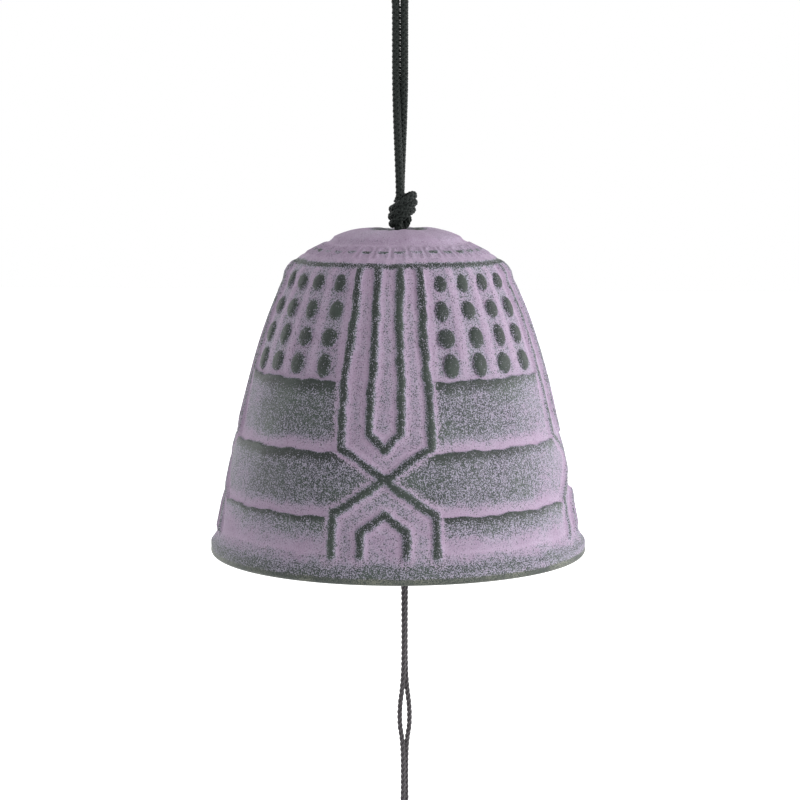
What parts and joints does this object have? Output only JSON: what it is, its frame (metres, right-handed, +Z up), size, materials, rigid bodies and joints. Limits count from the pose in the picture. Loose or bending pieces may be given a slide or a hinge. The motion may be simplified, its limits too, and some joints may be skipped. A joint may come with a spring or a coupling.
{
  "type": "furin wind bell",
  "caption": "Cast-iron wind bell shaped like a temple bell, lilac with rubbed dark relief, on a doubled cord, with a clapper and a blank paper strip on a thin string.",
  "frame": {"origin": "the point where the loop of the hanging cord rests on its hook", "axes": "+Z up along the bell's axis, -Y towards the strap that faces the viewer, +X to the viewer's right"},
  "size_m": [0.067, 0.067, 0.2711],
  "materials": {
    "lilac_iron": "matte lilac paint rubbed back to dark green-black iron on the raised relief",
    "bare_iron": "satin dark iron",
    "dark_cord": "braided matte cord",
    "grey_string": "twisted matte string",
    "paper": "blank matte washi paper"
  },
  "bodies": {
    "hanger": {"hang_cord": "dark_cord"},
    "knots": {"crown_knot": "dark_cord", "through_cord": "dark_cord", "inner_knot": "dark_cord"},
    "bell": {"bell_shell": "lilac_iron"},
    "hitch": {"string_hitch": "grey_string"},
    "clapper": {"clapper_string": "grey_string", "clapper": "bare_iron", "clapper_knot": "grey_string", "pull_string": "grey_string"},
    "strip_tie": {"strip_knot": "grey_string", "strip_loop": "grey_string"},
    "strip": {"wind_strip": "paper"}
  },
  "joints": [
    {"name": "bell_swing", "type": "hinge", "parent": "hanger", "child": "knots", "pos_m": [0, 0, -0.04775], "axis": [0, 1, 0], "range_deg": [-25, 25]},
    {"name": "bell_turn", "type": "hinge", "parent": "knots", "child": "bell", "pos_m": [0, 0, -0.0523], "axis": [0, 0, 1], "range_deg": [-180, 180]},
    {"name": "clapper_turn", "type": "hinge", "parent": "knots", "child": "hitch", "pos_m": [0.00115, 0, -0.06455], "axis": [0, 0, 1], "range_deg": [-180, 180]},
    {"name": "clapper_swing", "type": "hinge", "parent": "hitch", "child": "clapper", "pos_m": [0.00115, 0, -0.06455], "axis": [0, 1, 0], "range_deg": [-22, 22]},
    {"name": "strip_turn", "type": "hinge", "parent": "clapper", "child": "strip_tie", "pos_m": [0.00115, 0, -0.159], "axis": [0, 0, 1], "range_deg": [-180, 180]},
    {"name": "strip_swing", "type": "hinge", "parent": "strip_tie", "child": "strip", "pos_m": [0.00115, 0, -0.1668], "axis": [1, 0, 0], "range_deg": [-45, 45]}
  ]
}
